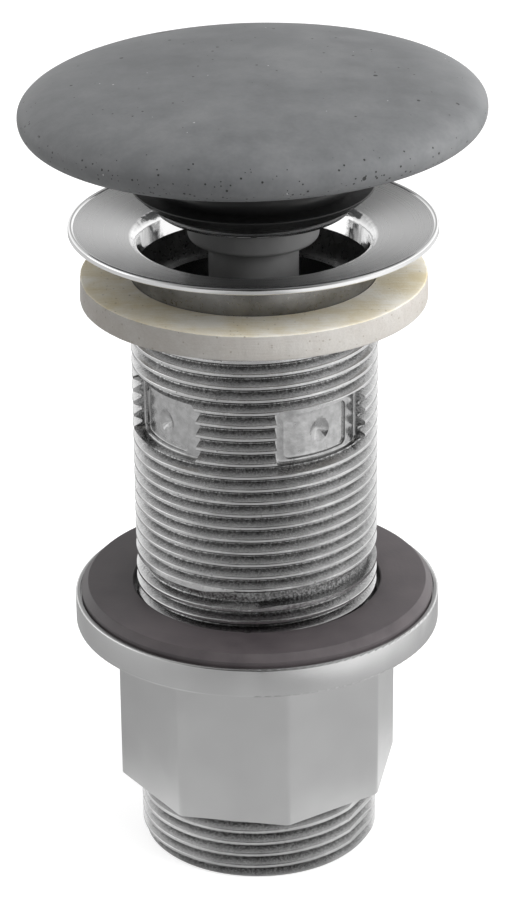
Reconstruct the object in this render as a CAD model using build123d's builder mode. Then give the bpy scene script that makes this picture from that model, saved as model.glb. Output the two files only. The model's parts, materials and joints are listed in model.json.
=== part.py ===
"""A sprung plug basin waste, standing on its outlet, plug raised, in millimetres, +Z up.

The origin is the centre of the outlet's lower end face. Azimuths are counted from the
front (-Y) towards +X. Threads are plain cylinders at the size of their crests.
"""
import os
from math import atan2, cos, degrees, radians, sin, tan

from build123d import *

os.makedirs("parts", exist_ok=True)

# Pipe thread on the tube and on the outlet, G 1 1/4
pipe_thread_radius = 20.955
pipe_thread_depth = 1.48
pipe_thread_play = 0.08

# Outlet nut: thread, eight-sided spanner body, flange
outlet_thread_length = 12.8
outlet_lead_in = 0.9
outlet_bore_radius = 17.5
spanner_body_height = 29.1
spanner_body_sides = 8
spanner_body_across_flats = 46.0
spanner_corner_rounding = 1.6
spanner_corner_azimuth = 11.0
nut_flange_radius = 31.75
nut_flange_thickness = 5.25
nut_flange_rounding = 0.35
nut_shoulder_height = 1.2
nut_recess_depth = 0.8

# Nut gasket, dark rubber with a bevelled edge
nut_gasket_radius = 30.7
nut_gasket_bore_radius = 21.5
nut_gasket_thickness = 2.7
nut_gasket_bevel = 1.15
nut_gasket_play = 0.3

# Waste body: flange, throat and tube, heights as depths below the flange's top
tube_engagement = 12.15
body_length = 80.0
flange_radius = 31.0
flange_rim_thickness = 1.2
flange_bead_width = 0.9
flange_bead_rise = 0.25
flange_edge_break = 0.2
flange_underside_depth = 3.3
flange_seat_radius = 24.5
dish_depth = 2.55
throat_radius = 19.6
throat_edge_rounding = 1.7
throat_depth = 7.1
throat_foot_radius = 19.5
ledge_depth = 12.2
ledge_radius = 18.7
tube_bore_radius = 17.0
boss_radius = 20.75
thread_start_depth = 13.2
relief_start_depth = 59.5
relief_width = 2.0
tube_lead_in = 1.0

# Knock-out overflow windows, evenly spaced round the tube
window_count = 4
first_window_azimuth = 35.1
window_top_depth = 25.8
window_height = 10.4
window_span = 52.2
window_floor_radius = 18.8
window_corner_rounding = 1.2
panel_width = 12.2
panel_height = 8.0
panel_drop = 0.6
panel_shift = 0.6
panel_radius = 18.35
panel_corner_rounding = 1.1
dimple_radius = 2.0
dimple_tip_radius = 0.5
dimple_depth = 0.9

# Spider across the tube below the windows
spider_arms = 4
spider_arm_thickness = 3.0
spider_top_depth = 38.0
spider_height = 6.0
spider_hub_radius = 8.0

# Basin gasket, beige, hanging round the boss
basin_gasket_radius = 29.35
basin_gasket_thickness = 4.4
basin_gasket_play = 0.1

# Screw that holds the guide barrel on the spider, M6, with its washers and nut
screw_radius = 2.95
screw_thread_play = 0.06
screw_head_radius = 4.5
screw_head_height = 2.4
screw_slot_width = 1.2
screw_slot_depth = 1.1
screw_end_spare = 2.0
washer_thickness = 0.8
washer_play = 0.2
lock_washer_radius = 5.6
lock_nut_across_flats = 10.0
lock_nut_height = 4.0

# Guide barrel, fixed
barrel_radius = 7.6
barrel_bore_radius = 5.0
barrel_floor_thickness = 3.2
barrel_top_height = 2.4
barrel_foot_radius = 9.0
barrel_foot_height = 2.5
barrel_edge_break = 0.4

# Heart-shaped track that latches the plug, and the gap left over the throat when closed
closing_gap = 0.5
latch_swing = 24.0
track_depth = 1.2
track_play = 0.3
track_catch_play = 0.1
track_catch_rise = 1.0
latch_pin_radius = 0.65

# Moving plug: heights above the flange's top when raised
plate_height = 2.73
plate_thickness = 1.35
plate_radius = 16.9
plate_foot_radius = 15.4
seal_neck_radius = 15.9
seal_lip_radius = 20.4
seal_lip_height = 7.1
seal_lip_thickness = 0.45
seal_foot_radius = 16.6
seal_foot_slope = 0.35
seal_neck_blend = 1.4
seal_bore_play = 0.3
cap_underside_height = 16.0
running_play = 0.1
seat_play = 0.05

# Outer sleeve, with the latch ring's pocket at its lower end
sleeve_radius = 11.05
sleeve_neck_radius = 10.4
sleeve_overhang = 5.33
sleeve_ceiling_clearance = 0.6
sleeve_top_play = 0.3
sleeve_edge_rounding = 0.9
pocket_radius = 9.8
collar_thickness = 1.1
latch_ring_height = 2.4
latch_ring_play = 0.3

# Plunger and spring
plunger_land_length = 4.0
plunger_waist_radius = 4.2
plunger_spigot_radius = 3.1
plunger_spigot_length = 4.0
spring_wire_radius = 0.45
spring_wire_sides = 8
spring_radius = 3.95
spring_length = 23.0
spring_turns = 7

# Cap, cast, with a threaded bush in its underside
cap_radius = 38.8
cap_equator_rise = 3.95
cap_crown_rise = 6.75
cap_flat_radius = 31.9
cap_under_pull = 0.6
cap_edge_pull = 0.88
cap_crown_pull = 18.5
bush_radius = 6.0
bush_length = 5.0
bush_waist_depth = 0.6
bush_waist_length = 1.8
bush_blind_end = 0.6

# Levels worked out from the outlet upwards
spanner_body_low = outlet_thread_length
nut_flange_low = spanner_body_low + spanner_body_height
nut_flange_top = nut_flange_low + nut_flange_thickness
nut_recess_floor = nut_flange_top - nut_recess_depth
tube_low = nut_flange_top - tube_engagement
flange_top = tube_low + body_length
spider_top = flange_top - spider_top_depth
spider_low = spider_top - spider_height
thread_root_radius = pipe_thread_radius - pipe_thread_depth
gasket_level = flange_top - thread_start_depth
window_level = flange_top - window_top_depth - window_height / 2
barrel_floor = spider_top + barrel_floor_thickness
barrel_top = flange_top + barrel_top_height
screw_seat = barrel_floor + washer_thickness
spring_seat = screw_seat + screw_head_height
plunger_foot = spring_seat + spring_length
dish_slope = (dish_depth - flange_bead_rise) / (flange_radius - flange_bead_width - throat_radius)
closing_depth = dish_depth - dish_slope * (seal_lip_radius - throat_radius)
plug_stroke = seal_lip_height - seal_lip_thickness + closing_depth - closing_gap
plate_low = flange_top + plate_height
plate_top = plate_low + plate_thickness
cap_underside = flange_top + cap_underside_height
sleeve_low = plate_low - sleeve_overhang
sleeve_top = cap_underside - sleeve_top_play
sleeve_ceiling = barrel_top + plug_stroke + sleeve_ceiling_clearance
pocket_low = sleeve_low + collar_thickness
pocket_top = pocket_low + latch_ring_height + 2 * latch_ring_play
latch_level = (pocket_low + pocket_top) / 2
plunger_top = sleeve_ceiling - screw_head_height
screw_hole_radius = screw_radius + screw_thread_play


def facing(azimuth, radius, level):
    """A plane that looks outwards at an azimuth, its x axis along the tube's tangent."""
    turn = radians(azimuth)
    outwards = (sin(turn), -cos(turn), 0)
    return Plane(
        origin=(radius * sin(turn), -radius * cos(turn), level),
        x_dir=(cos(turn), sin(turn), 0),
        z_dir=outwards,
    )


def slot_between(start, end, width):
    """A round-ended slot between two points of the plane being sketched on."""
    run = Vector(*end) - Vector(*start)
    with Locations((Vector(*start) + Vector(*end)) / 2):
        SlotCenterToCenter(run.length, width, rotation=degrees(atan2(run.Y, run.X)))


def nearest(corners, x, y):
    """The corner of a section that lies nearest to a point of its plane."""
    return corners.sort_by_distance((x, y, 0))[0]


# Outlet nut: flange, spanner body, outlet thread, bore with a shoulder at its foot
with BuildPart() as outlet_nut:
    with BuildSketch(Plane.XY.offset(spanner_body_low)) as spanner_outline:
        RegularPolygon(
            spanner_body_across_flats / 2,
            spanner_body_sides,
            major_radius=False,
            rotation=spanner_corner_azimuth - 90,
        )
        fillet(spanner_outline.vertices(), spanner_corner_rounding)
    extrude(amount=spanner_body_height)
    with BuildSketch(Plane.XY.offset(nut_flange_low)):
        Circle(nut_flange_radius)
    nut_flange = extrude(amount=nut_flange_thickness)
    fillet(nut_flange.edges().filter_by(GeomType.CIRCLE), nut_flange_rounding)
    with BuildSketch():
        Circle(pipe_thread_radius)
    extrude(amount=outlet_thread_length)
    outlet_edge = outlet_nut.edges().filter_by(GeomType.CIRCLE).sort_by(Axis.Z)[0]
    chamfer(outlet_edge, outlet_lead_in)
    with BuildSketch():
        Circle(outlet_bore_radius)
    extrude(amount=nut_flange_top, mode=Mode.SUBTRACT)
    with BuildSketch(Plane.XY.offset(spanner_body_low + nut_shoulder_height)):
        Circle(pipe_thread_radius + pipe_thread_play)
    extrude(amount=nut_flange_top, mode=Mode.SUBTRACT)
    with BuildSketch(Plane.XY.offset(nut_recess_floor)):
        Circle(nut_gasket_radius + nut_gasket_play)
    extrude(amount=nut_recess_depth, mode=Mode.SUBTRACT)
outlet_nut.part.label = "outlet_nut"
export_step(outlet_nut.part, "parts/outlet_nut.step")

# Nut gasket, lying in the nut's recess
with BuildPart() as nut_gasket:
    with BuildSketch(Plane.XY.offset(nut_recess_floor)):
        Circle(nut_gasket_radius)
        Circle(nut_gasket_bore_radius, mode=Mode.SUBTRACT)
    extrude(amount=nut_gasket_thickness)
    gasket_rim = nut_gasket.edges().group_by(Axis.Z)[-1].sort_by(SortBy.RADIUS)[-1]
    chamfer(gasket_rim, nut_gasket_bevel)
nut_gasket.part.label = "nut_gasket"
export_step(nut_gasket.part, "parts/nut_gasket.step")

# Tool for one overflow window: a pocket with radial sides, a deeper panel and a dimple
half_window = tan(radians(window_span / 2))
with BuildPart() as window_tool:
    for reach in (tube_bore_radius / 2, 2 * tube_bore_radius):
        with BuildSketch(facing(0, reach, 0)):
            RectangleRounded(2 * reach * half_window, window_height, window_corner_rounding)
    loft()
    Cylinder(window_floor_radius, 2 * window_height, mode=Mode.SUBTRACT)
with BuildPart() as panel_tool:
    with BuildSketch(facing(0, tube_bore_radius, -panel_drop)):
        with Locations((-panel_shift, 0)):
            RectangleRounded(panel_width, panel_height, panel_corner_rounding)
    extrude(amount=pipe_thread_radius)
    Cylinder(panel_radius, 2 * window_height, mode=Mode.SUBTRACT)
with BuildPart() as dimple_tool:
    with BuildSketch(facing(0, panel_radius - dimple_depth, -panel_drop)):
        Circle(dimple_tip_radius)
    with BuildSketch(facing(0, panel_radius + dimple_depth, -panel_drop)):
        Circle(2 * dimple_radius - dimple_tip_radius)
    loft()

# Waste body: turned section with a round bead on its rim, then the spider and the windows
bead_start = (flange_radius - flange_bead_width, flange_top - flange_bead_rise)
bead_crest = (flange_radius - flange_bead_width / 2, flange_top)
bead_end = (flange_radius, flange_top - flange_bead_rise)
with BuildPart() as waste_body:
    with BuildSketch(Plane.XZ) as body_section:
        with BuildLine():
            Line((throat_radius, flange_top - dish_depth), bead_start)
            ThreePointArc(bead_start, bead_crest, bead_end)
            Polyline(
                bead_end,
                (flange_radius, flange_top - flange_rim_thickness + flange_edge_break),
                (flange_radius - flange_edge_break, flange_top - flange_rim_thickness),
                (flange_seat_radius, flange_top - flange_underside_depth),
                (boss_radius, flange_top - flange_underside_depth),
                (boss_radius, gasket_level),
                (pipe_thread_radius, gasket_level),
                (pipe_thread_radius, flange_top - relief_start_depth),
                (thread_root_radius, flange_top - relief_start_depth),
                (thread_root_radius, flange_top - relief_start_depth - relief_width),
                (pipe_thread_radius, flange_top - relief_start_depth - relief_width),
                (pipe_thread_radius, tube_low + tube_lead_in),
                (pipe_thread_radius - tube_lead_in, tube_low),
                (tube_bore_radius, tube_low),
                (tube_bore_radius, flange_top - ledge_depth),
                (ledge_radius, flange_top - ledge_depth),
                (throat_foot_radius, flange_top - throat_depth),
                (throat_radius, flange_top - dish_depth),
            )
        make_face()
        throat_corner = nearest(body_section.vertices(), throat_radius, flange_top - dish_depth)
        fillet(throat_corner, throat_edge_rounding)
    revolve(axis=Axis.Z)
    with BuildSketch(Plane.XY.offset(spider_low)):
        Circle(spider_hub_radius)
        with PolarLocations(0, spider_arms):
            Rectangle(
                tube_bore_radius + thread_root_radius,
                spider_arm_thickness,
                align=(Align.MIN, Align.CENTER),
            )
        Circle(thread_root_radius, mode=Mode.INTERSECT)
    extrude(amount=spider_height)
    with BuildSketch(Plane.XY.offset(spider_low)):
        Circle(screw_hole_radius)
    extrude(amount=spider_height, mode=Mode.SUBTRACT)
    for turn in range(window_count):
        azimuth = first_window_azimuth + turn * 360 / window_count
        with Locations(Location((0, 0, window_level), (0, 0, azimuth))):
            add(window_tool.part, mode=Mode.SUBTRACT)
            add(panel_tool.part, mode=Mode.SUBTRACT)
            add(dimple_tool.part, mode=Mode.SUBTRACT)
waste_body.part.label = "waste_body"
export_step(waste_body.part, "parts/waste_body.step")

# Basin gasket, resting on the tube's first turn of thread
with BuildPart() as basin_gasket:
    with BuildSketch(Plane.XY.offset(gasket_level)):
        Circle(basin_gasket_radius)
        Circle(boss_radius + basin_gasket_play, mode=Mode.SUBTRACT)
    extrude(amount=basin_gasket_thickness)
basin_gasket.part.label = "basin_gasket"
export_step(basin_gasket.part, "parts/basin_gasket.step")

# Guide barrel: a blind tube with a foot, and the heart-shaped track round its back
track_width = 2 * (latch_pin_radius + track_play)
catch_width = 2 * (latch_pin_radius + track_catch_play)
catch_level = track_catch_rise - plug_stroke
track_floor_radius = barrel_radius - track_depth
track_mean_radius = barrel_radius - track_depth / 2
leg_reach = track_mean_radius * sin(radians(latch_swing / 2))
heart_reach = track_mean_radius * sin(radians(latch_swing))
with BuildPart() as guide_barrel:
    with BuildSketch(Plane.XY.offset(spider_top)):
        Circle(barrel_radius)
    extrude(amount=barrel_top - spider_top)
    with BuildSketch(Plane.XY.offset(spider_top)):
        Circle(barrel_foot_radius)
    extrude(amount=barrel_foot_height)
    with BuildSketch(Plane.XY.offset(barrel_floor)):
        Circle(barrel_bore_radius)
    extrude(amount=barrel_top - barrel_floor, mode=Mode.SUBTRACT)
    with BuildSketch(Plane.XY.offset(spider_top)):
        Circle(screw_hole_radius)
    extrude(amount=barrel_floor_thickness, mode=Mode.SUBTRACT)
    chamfer(guide_barrel.edges().group_by(Axis.Z)[-1], barrel_edge_break)
    for side in (-1, 1):
        leg_plane = facing(180 + side * latch_swing / 2, track_floor_radius, latch_level)
        with BuildSketch(leg_plane):
            slot_between((-side * leg_reach, 0), (side * leg_reach, -plug_stroke), track_width)
        extrude(amount=2 * track_depth, mode=Mode.SUBTRACT)
        with BuildSketch(facing(180, track_floor_radius, latch_level)):
            slot_between((side * heart_reach, -plug_stroke), (0, catch_level), catch_width)
        extrude(amount=2 * track_depth, mode=Mode.SUBTRACT)
guide_barrel.part.label = "guide_barrel"
export_step(guide_barrel.part, "parts/guide_barrel.step")

# Barrel washer, under the screw's head
with BuildPart() as barrel_washer:
    with BuildSketch(Plane.XY.offset(barrel_floor)):
        Circle(screw_head_radius)
        Circle(screw_radius + washer_play, mode=Mode.SUBTRACT)
    extrude(amount=washer_thickness)
barrel_washer.part.label = "barrel_washer"
export_step(barrel_washer.part, "parts/barrel_washer.step")

# Lock washer, under the spider
lock_washer_low = spider_low - washer_thickness
with BuildPart() as lock_washer:
    with BuildSketch(Plane.XY.offset(lock_washer_low)):
        Circle(lock_washer_radius)
        Circle(screw_radius + washer_play, mode=Mode.SUBTRACT)
    extrude(amount=washer_thickness)
lock_washer.part.label = "lock_washer"
export_step(lock_washer.part, "parts/lock_washer.step")

# Lock nut, six-sided
lock_nut_low = lock_washer_low - lock_nut_height
with BuildPart() as lock_nut:
    with BuildSketch(Plane.XY.offset(lock_nut_low)):
        RegularPolygon(lock_nut_across_flats / 2, 6, major_radius=False)
        Circle(screw_hole_radius, mode=Mode.SUBTRACT)
    extrude(amount=lock_nut_height)
lock_nut.part.label = "lock_nut"
export_step(lock_nut.part, "parts/lock_nut.step")

# Fixing screw, its slotted head on the washer inside the barrel
screw_end = lock_nut_low - screw_end_spare
with BuildPart() as fixing_screw:
    with BuildSketch(Plane.XY.offset(screw_end)):
        Circle(screw_radius)
    extrude(amount=screw_seat - screw_end)
    with BuildSketch(Plane.XY.offset(screw_seat)):
        Circle(screw_head_radius)
    extrude(amount=screw_head_height)
    with BuildSketch(Plane.XY.offset(spring_seat - screw_slot_depth)):
        Rectangle(2 * screw_head_radius, screw_slot_width)
    extrude(amount=screw_slot_depth, mode=Mode.SUBTRACT)
fixing_screw.part.label = "fixing_screw"
export_step(fixing_screw.part, "parts/fixing_screw.step")

# Return spring, between the screw's head and the plunger, its wire kept light as an octagon
with BuildPart() as return_spring:
    with BuildLine() as coil:
        Helix(
            pitch=(spring_length - 2 * spring_wire_radius) / spring_turns,
            height=spring_length - 2 * spring_wire_radius,
            radius=spring_radius,
            center=(0, 0, spring_seat + spring_wire_radius),
        )
    with BuildSketch(Plane(origin=coil.line @ 0, z_dir=coil.line % 0)):
        RegularPolygon(spring_wire_radius, spring_wire_sides)
    sweep(is_frenet=True)
return_spring.part.label = "return_spring"
export_step(return_spring.part, "parts/return_spring.step")

# Plunger: two lands with a waist between, and a spigot inside the spring
plunger_radius = barrel_bore_radius - running_play
with BuildPart() as plunger:
    with BuildSketch(Plane.XZ):
        with BuildLine():
            Polyline(
                (0, plunger_foot - plunger_spigot_length),
                (plunger_spigot_radius, plunger_foot - plunger_spigot_length),
                (plunger_spigot_radius, plunger_foot),
                (plunger_radius, plunger_foot),
                (plunger_radius, plunger_foot + plunger_land_length),
                (plunger_waist_radius, plunger_foot + plunger_land_length),
                (plunger_waist_radius, barrel_top - plunger_land_length),
                (plunger_radius, barrel_top - plunger_land_length),
                (plunger_radius, plunger_top),
                (0, plunger_top),
                close=True,
            )
        make_face()
    revolve(axis=Axis.Z)
plunger.part.label = "plunger"
export_step(plunger.part, "parts/plunger.step")

# Latch ring, free to swing in the sleeve's pocket, with a hole for its pin
ring_radius = pocket_radius - latch_ring_play
ring_bore_radius = barrel_radius + latch_ring_play
pin_tip_radius = track_floor_radius + latch_ring_play
pin_head_radius = ring_radius - latch_ring_play / 2
with BuildPart() as latch_ring:
    with BuildSketch(Plane.XY.offset(latch_level - latch_ring_height / 2)):
        Circle(ring_radius)
        Circle(ring_bore_radius, mode=Mode.SUBTRACT)
    extrude(amount=latch_ring_height)
    with BuildSketch(facing(180, pin_tip_radius, latch_level)):
        Circle(latch_pin_radius)
    extrude(amount=pin_head_radius - pin_tip_radius, mode=Mode.SUBTRACT)
latch_ring.part.label = "latch_ring"
export_step(latch_ring.part, "parts/latch_ring.step")

# Latch pin, pressed into the ring, its tip in the top of the track
with BuildPart() as latch_pin:
    with BuildSketch(facing(180, pin_tip_radius, latch_level)):
        Circle(latch_pin_radius)
    extrude(amount=pin_head_radius - pin_tip_radius)
latch_pin.part.label = "latch_pin"
export_step(latch_pin.part, "parts/latch_pin.step")

# Outer sleeve: a cap over the barrel, shouldered for the plate, pocketed for the ring
sleeve_bore_radius = barrel_radius + running_play
with BuildPart() as outer_sleeve:
    with BuildSketch(Plane.XZ) as sleeve_section:
        with BuildLine():
            Polyline(
                (screw_hole_radius, sleeve_top),
                (sleeve_neck_radius, sleeve_top),
                (sleeve_neck_radius, plate_low),
                (sleeve_radius, plate_low),
                (sleeve_radius, sleeve_low),
                (pocket_radius, sleeve_low),
                (pocket_radius, pocket_top),
                (sleeve_bore_radius, pocket_top),
                (sleeve_bore_radius, sleeve_ceiling),
                (screw_hole_radius, sleeve_ceiling),
                close=True,
            )
        make_face()
        fillet(nearest(sleeve_section.vertices(), sleeve_radius, sleeve_low), sleeve_edge_rounding)
    revolve(axis=Axis.Z)
outer_sleeve.part.label = "outer_sleeve"
export_step(outer_sleeve.part, "parts/outer_sleeve.step")

# Sleeve collar, snapped into the mouth of the pocket
with BuildPart() as sleeve_collar:
    with BuildSketch(Plane.XY.offset(sleeve_low)):
        Circle(pocket_radius - seat_play)
        Circle(sleeve_bore_radius, mode=Mode.SUBTRACT)
    extrude(amount=collar_thickness)
sleeve_collar.part.label = "sleeve_collar"
export_step(sleeve_collar.part, "parts/sleeve_collar.step")

# Seal plate, dished edge, seated on the sleeve's shoulder
with BuildPart() as seal_plate:
    with BuildSketch(Plane.XZ):
        with BuildLine():
            Line((sleeve_neck_radius + seat_play, plate_low), (plate_foot_radius, plate_low))
            TangentArc((plate_foot_radius, plate_low), (plate_radius, plate_top), tangent=(1, 0))
            Line((plate_radius, plate_top), (sleeve_neck_radius + seat_play, plate_top))
            Line(
                (sleeve_neck_radius + seat_play, plate_top),
                (sleeve_neck_radius + seat_play, plate_low),
            )
        make_face()
    revolve(axis=Axis.Z)
seal_plate.part.label = "seal_plate"
export_step(seal_plate.part, "parts/seal_plate.step")

# Plug seal: a thick neck between plate and cap, and a thin lip that closes the throat
seal_bore_radius = sleeve_neck_radius + seal_bore_play
lip_top = flange_top + seal_lip_height
with BuildPart() as plug_seal:
    with BuildSketch(Plane.XZ) as seal_section:
        with BuildLine():
            Polyline(
                (seal_foot_radius, plate_top),
                (seal_bore_radius, plate_top),
                (seal_bore_radius, cap_underside),
                (seal_neck_radius, cap_underside),
                (seal_neck_radius, lip_top),
                (seal_lip_radius, lip_top),
                (seal_lip_radius, lip_top - seal_lip_thickness),
            )
            TangentArc(
                (seal_foot_radius, plate_top),
                (seal_lip_radius, lip_top - seal_lip_thickness),
                tangent=(1, seal_foot_slope),
            )
        make_face()
        fillet(nearest(seal_section.vertices(), seal_neck_radius, lip_top), seal_neck_blend)
    revolve(axis=Axis.Z)
plug_seal.part.label = "plug_seal"
export_step(plug_seal.part, "parts/plug_seal.step")

# Outline of the cap bush, a waist between two collars, which the cap is cast round
waist_low = cap_underside + (bush_length - bush_waist_length) / 2
bush_outline = [
    (0, cap_underside),
    (bush_radius, cap_underside),
    (bush_radius, waist_low),
    (bush_radius - bush_waist_depth, waist_low),
    (bush_radius - bush_waist_depth, waist_low + bush_waist_length),
    (bush_radius, waist_low + bush_waist_length),
    (bush_radius, cap_underside + bush_length),
    (0, cap_underside + bush_length),
]

# Cap bush, with a blind threaded hole
with BuildPart() as cap_bush:
    with BuildSketch(Plane.XZ):
        with BuildLine():
            Polyline(*bush_outline, close=True)
        make_face()
    revolve(axis=Axis.Z)
    with BuildSketch(Plane.XY.offset(cap_underside)):
        Circle(screw_hole_radius)
    extrude(amount=bush_length - bush_blind_end, mode=Mode.SUBTRACT)
cap_bush.part.label = "cap_bush"
export_step(cap_bush.part, "parts/cap_bush.step")

# Plug screw: head under the sleeve's ceiling, end in the cap's bush
with BuildPart() as plug_screw:
    with BuildSketch(Plane.XY.offset(plunger_top)):
        Circle(screw_head_radius)
    extrude(amount=screw_head_height)
    with BuildSketch(Plane.XY.offset(sleeve_ceiling)):
        Circle(screw_radius)
    extrude(amount=cap_underside + bush_length - 2 * bush_blind_end - sleeve_ceiling)
plug_screw.part.label = "plug_screw"
export_step(plug_screw.part, "parts/plug_screw.step")

# Cap: one rounded disc, its edge and its crown two smooth curves that meet upright
cap_equator = cap_underside + cap_equator_rise
cap_crown = cap_equator + cap_crown_rise
with BuildPart() as cap:
    with BuildSketch(Plane.XZ):
        with BuildLine():
            Line((0, cap_crown), (0, cap_underside))
            Line((0, cap_underside), (cap_flat_radius, cap_underside))
            Bezier(
                (cap_flat_radius, cap_underside),
                (cap_radius - cap_equator_rise * cap_under_pull, cap_underside),
                (cap_radius, cap_equator - cap_equator_rise * cap_under_pull),
                (cap_radius, cap_equator),
            )
            Bezier(
                (cap_radius, cap_equator),
                (cap_radius, cap_equator + cap_crown_rise * cap_edge_pull),
                (cap_radius - cap_crown_pull, cap_crown),
                (0, cap_crown),
            )
        make_face()
    revolve(axis=Axis.Z)
    with BuildSketch(Plane.XZ):
        with BuildLine():
            Polyline(*bush_outline, close=True)
        make_face()
    revolve(axis=Axis.Z, mode=Mode.SUBTRACT)
cap.part.label = "cap"
export_step(cap.part, "parts/cap.step")
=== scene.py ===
# %% [markdown]
# # A sprung plug basin waste
#
# The object is a push-to-open basin waste: a cast concrete cap on a sprung plug, a plated body
# with a dished flange and a long cast thread, two gaskets, and a flanged nut at the foot. Its
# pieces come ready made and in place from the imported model, at the size of their crests. This
# file adds what the eye sees: the turns of the threads, soft rubber, stone and plated metal.

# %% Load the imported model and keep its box
import json
import math

import bmesh
import bpy
import numpy as np
from mathutils import Matrix, Vector

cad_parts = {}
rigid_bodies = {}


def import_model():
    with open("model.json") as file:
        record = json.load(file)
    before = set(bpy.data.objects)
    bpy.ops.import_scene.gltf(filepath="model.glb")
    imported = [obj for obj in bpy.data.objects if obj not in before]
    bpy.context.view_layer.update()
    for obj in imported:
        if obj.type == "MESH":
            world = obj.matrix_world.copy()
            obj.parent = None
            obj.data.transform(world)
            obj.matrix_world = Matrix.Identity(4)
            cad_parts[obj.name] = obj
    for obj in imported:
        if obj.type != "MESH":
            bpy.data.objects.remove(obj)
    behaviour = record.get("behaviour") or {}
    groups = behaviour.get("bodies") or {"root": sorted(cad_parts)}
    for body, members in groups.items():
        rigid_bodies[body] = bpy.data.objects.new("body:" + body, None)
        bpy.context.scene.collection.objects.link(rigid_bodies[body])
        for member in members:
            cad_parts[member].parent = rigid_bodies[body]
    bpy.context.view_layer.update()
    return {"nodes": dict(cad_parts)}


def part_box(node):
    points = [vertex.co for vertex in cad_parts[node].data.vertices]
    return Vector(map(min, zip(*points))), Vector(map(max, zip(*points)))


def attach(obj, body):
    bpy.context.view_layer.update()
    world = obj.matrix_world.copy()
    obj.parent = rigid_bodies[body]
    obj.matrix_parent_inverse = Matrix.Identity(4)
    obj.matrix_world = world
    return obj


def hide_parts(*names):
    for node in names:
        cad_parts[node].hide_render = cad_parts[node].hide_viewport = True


MM = 0.001
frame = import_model()
print("nodes in the packed model:", len(frame["nodes"]))

# %% [markdown]
# ## Sizes read from the model
#
# Every shape below is worked out in millimetres, as on the maker's drawing, and turned into
# metres when its mesh is made. The heights and radii that pieces share are read from the boxes
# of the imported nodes, so that each new piece lands on the one that carries it.


# %% A node's lowest and highest point, in millimetres
def node_box(name):
    """Two arrays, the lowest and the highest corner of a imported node."""
    low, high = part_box(name)
    return np.array(low) / MM, np.array(high) / MM


flange_radius, flange_top = node_box("waste_body")[1][[0, 2]]
tube_low = node_box("waste_body")[0][2]
gasket_level, gasket_top = node_box("basin_gasket")[0][2], node_box("basin_gasket")[1][2]
nut_gasket_low, nut_gasket_top = node_box("nut_gasket")[0][2], node_box("nut_gasket")[1][2]
plate_low, plate_top = node_box("seal_plate")[0][2], node_box("seal_plate")[1][2]
cap_underside, cap_crown = node_box("cap")[0][2], node_box("cap")[1][2]
sleeve_low, sleeve_top = node_box("outer_sleeve")[0][2], node_box("outer_sleeve")[1][2]
spider_top = node_box("guide_barrel")[0][2]
spider_low = node_box("lock_washer")[1][2]
print("flange top at", round(flange_top, 2), "cap crown at", round(cap_crown, 2))

# %% [markdown]
# ## The camera
#
# The reference view looks down on the waste by 24 degrees from half a metre away, through a
# long lens. The values are those that bring the flange, the cap, the gaskets and the crests of
# both threads onto their places in the picture.

# %% Camera
camera_place = Vector((-5.579, -514.949, 305.242)) * MM
camera_pitch = math.radians(24.267)
camera_yaw = math.radians(-0.5702)
camera_roll = math.radians(0.5936)
camera_focal_length = 131.35

camera = bpy.data.objects.new("camera", bpy.data.cameras.new("camera"))
camera.data.lens = camera_focal_length
camera.data.sensor_width = 36
camera.data.clip_start = 0.01
camera.matrix_world = (
    Matrix.Translation(camera_place)
    @ Matrix.Rotation(camera_yaw, 4, "Z")
    @ Matrix.Rotation(math.pi / 2 - camera_pitch, 4, "X")
    @ Matrix.Rotation(-camera_roll, 4, "Z")
)
bpy.context.scene.collection.objects.link(camera)
bpy.context.scene.camera = camera
bpy.context.scene.view_settings.view_transform = "Standard"
print("camera height:", round(camera_place.z, 3))

# %% [markdown]
# ## Surfaces from arrays
#
# Almost every piece here was turned, moulded or pressed round one axis, so one helper carries a
# profile round it. A second parameter, the angle, makes room for what is not perfectly round:
# each point may be shifted by a ripple that depends on both. Points are computed as whole
# arrays, and the faces are four rolled copies of the table of point numbers.

# %% From a grid of points to a mesh
weld_distance = 1e-3 * MM


def piece_from_grid(name, grid, loop_rows):
    """A closed mesh over a grid of points (rows, columns, xyz) in millimetres.

    Columns always close on themselves; rows do so where loop_rows is true, and otherwise the
    first and the last row must each lie on one point or are closed by a face.
    """
    rows, columns = grid.shape[:2]
    number = np.arange(rows * columns).reshape(rows, columns)
    right = np.roll(number, -1, axis=1)
    above = np.roll(number, -1, axis=0)
    faces = np.stack([number, right, np.roll(right, -1, axis=0), above], axis=-1)
    if not loop_rows:
        faces = faces[:-1]
    mesh = bpy.data.meshes.new(name)
    mesh.from_pydata(grid.reshape(-1, 3) * MM, [], faces.reshape(-1, 4))
    shape = bmesh.new()
    shape.from_mesh(mesh)
    bmesh.ops.remove_doubles(shape, verts=shape.verts, dist=weld_distance)
    if not loop_rows:
        bmesh.ops.holes_fill(shape, edges=[edge for edge in shape.edges if edge.is_boundary])
    bmesh.ops.recalc_face_normals(shape, faces=shape.faces)
    if shape.calc_volume(signed=True) < 0:
        bmesh.ops.reverse_faces(shape, faces=shape.faces)
    shape.to_mesh(mesh)
    shape.free()
    piece = bpy.data.objects.new(name, mesh)
    bpy.context.scene.collection.objects.link(piece)
    return piece


def smooth(piece, crease=32):
    """Smooth shading that breaks at edges sharper than the crease, in degrees."""
    piece.data.shade_smooth()
    piece.data.set_sharp_from_angle(angle=math.radians(crease))


# %% [markdown]
# A profile is a list of (radius, height) points, and the turned piece is that profile at many
# angles round Z.


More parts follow.
